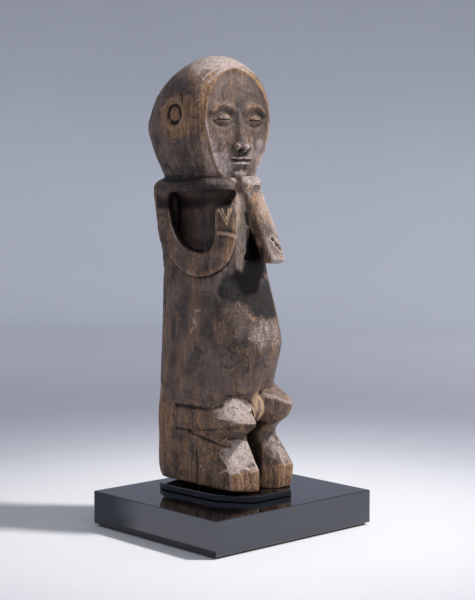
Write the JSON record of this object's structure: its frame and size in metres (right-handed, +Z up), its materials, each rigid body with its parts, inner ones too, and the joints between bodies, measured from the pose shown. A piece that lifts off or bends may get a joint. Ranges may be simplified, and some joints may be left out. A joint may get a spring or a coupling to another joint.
{
  "type": "carved ancestor figure",
  "caption": "Carved wooden ancestor figure with bent arms and a hand raised to the chin, standing on steel pins on a stepped black display block.",
  "frame": {"origin": "centre of the underside of the felt pad", "axes": "+Z up, the figure faces -Y, its left hand side is +X"},
  "size_m": [0.197, 0.175, 0.4457],
  "materials": {
    "weathered_wood": "old dark brown patina, worn to lighter brown on the edges",
    "black_acrylic": "polished black acrylic",
    "brown_felt": "felt",
    "pin_steel": "ground rod",
    "screw_steel": "zinc-plated"
  },
  "bodies": {
    "display_base": {"display_block": "black_acrylic", "felt_pad": "brown_felt", "riser_plate": "black_acrylic", "mounting_pin_1": "pin_steel", "mounting_pin_2": "pin_steel", "riser_screw_1": "screw_steel", "riser_screw_2": "screw_steel", "riser_screw_3": "screw_steel", "riser_screw_4": "screw_steel"},
    "figure": {"carved_figure": "weathered_wood"}
  },
  "joints": [
    {"name": "figure_lift", "type": "slide", "parent": "display_base", "child": "figure", "axis": [0, 0, 1], "range_m": [0, 0.04]}
  ]
}
